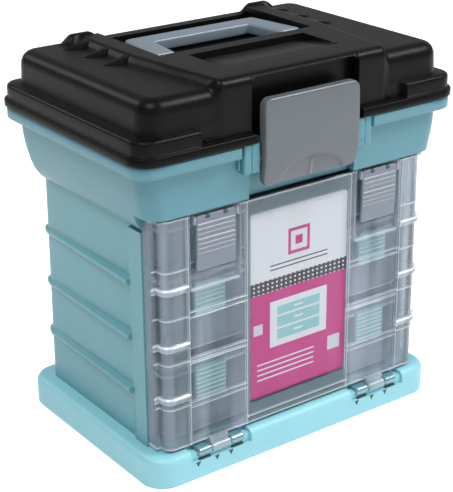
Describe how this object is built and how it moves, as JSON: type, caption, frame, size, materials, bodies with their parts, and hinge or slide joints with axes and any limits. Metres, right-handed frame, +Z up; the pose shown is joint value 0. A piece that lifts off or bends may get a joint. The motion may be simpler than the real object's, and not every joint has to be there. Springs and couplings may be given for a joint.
{
  "type": "craft storage rack",
  "caption": "Ribbed craft storage rack: organiser boxes slide out behind a clear drop-down door, under a bulk tray with a hinged lid and carry handle.",
  "frame": {"origin": "on the ground, below the middle of the lid", "axes": "+X to the right seen from the door, +Y towards the rear hinges of the lid, +Z up"},
  "size_m": [0.34, 0.237, 0.352],
  "materials": {
    "teal_plastic": "satin moulded",
    "black_plastic": "fine matt grain",
    "grey_plastic": "satin moulded",
    "clear_door": "clear, lightly frosted",
    "clear_box": "clear",
    "printed_card": "coated print",
    "steel_pin": "drawn wire"
  },
  "bodies": {
    "housing": {"base_plinth": "teal_plastic", "cabinet_shell": "teal_plastic", "top_tray": "teal_plastic", "lid_hinge_pins": "steel_pin"},
    "lid": {"lid": "black_plastic"},
    "handle": {"carry_handle": "grey_plastic"},
    "front_latch": {"front_latch": "grey_plastic"},
    "door": {"front_door": "clear_door", "label_card": "printed_card"},
    "door_latch_left": {"door_latch_left": "grey_plastic"},
    "door_latch_right": {"door_latch_right": "grey_plastic"},
    "bottom_box": {"bottom_box_tray": "clear_box", "bottom_box_lid": "clear_box", "bottom_box_latch_left": "teal_plastic", "bottom_box_latch_right": "teal_plastic", "bottom_box_dividers": "clear_box"},
    "middle_box": {"middle_box_tray": "clear_box", "middle_box_lid": "clear_box", "middle_box_latch_left": "teal_plastic", "middle_box_latch_right": "teal_plastic", "middle_box_dividers": "clear_box"},
    "top_box": {"top_box_tray": "clear_box", "top_box_lid": "clear_box", "top_box_latch_left": "teal_plastic", "top_box_latch_right": "teal_plastic", "top_box_dividers": "clear_box"}
  },
  "joints": [
    {"name": "lid_hinge", "type": "hinge", "parent": "housing", "child": "lid", "pos_m": [0, 0.1155, 0.29415], "axis": [-1, 0, 0], "range_deg": [0, 105]},
    {"name": "handle_pivot", "type": "hinge", "parent": "lid", "child": "handle", "pos_m": [0, 0.00425, 0.34175], "axis": [1, 0, 0], "range_deg": [0, 90]},
    {"name": "front_latch_pivot", "type": "hinge", "parent": "housing", "child": "front_latch", "pos_m": [0, -0.1096, 0.28], "axis": [1, 0, 0], "range_deg": [0, 28]},
    {"name": "door_hinge", "type": "hinge", "parent": "housing", "child": "door", "pos_m": [0, -0.105, 0.024], "axis": [1, 0, 0], "range_deg": [0, 90]},
    {"name": "door_latch_left_pivot", "type": "hinge", "parent": "door", "child": "door_latch_left", "pos_m": [-0.089, -0.1012, 0.2371], "axis": [-1, 0, 0], "range_deg": [0, 80]},
    {"name": "door_latch_right_pivot", "type": "hinge", "parent": "door", "child": "door_latch_right", "pos_m": [0.089, -0.1012, 0.2371], "axis": [-1, 0, 0], "range_deg": [0, 80]},
    {"name": "bottom_box_slide", "type": "slide", "parent": "housing", "child": "bottom_box", "axis": [0, -1, 0], "range_m": [0, 0.026]},
    {"name": "middle_box_slide", "type": "slide", "parent": "housing", "child": "middle_box", "axis": [0, -1, 0], "range_m": [0, 0.141]},
    {"name": "top_box_slide", "type": "slide", "parent": "housing", "child": "top_box", "axis": [0, -1, 0], "range_m": [0, 0.15]}
  ],
  "couplings": [
    {"joint": "bottom_box_slide", "follows": "door_hinge", "m_per_rad": 0.016},
    {"joint": "middle_box_slide", "follows": "door_hinge", "m_per_rad": 0.089},
    {"joint": "top_box_slide", "follows": "door_hinge", "m_per_rad": 0.095}
  ]
}
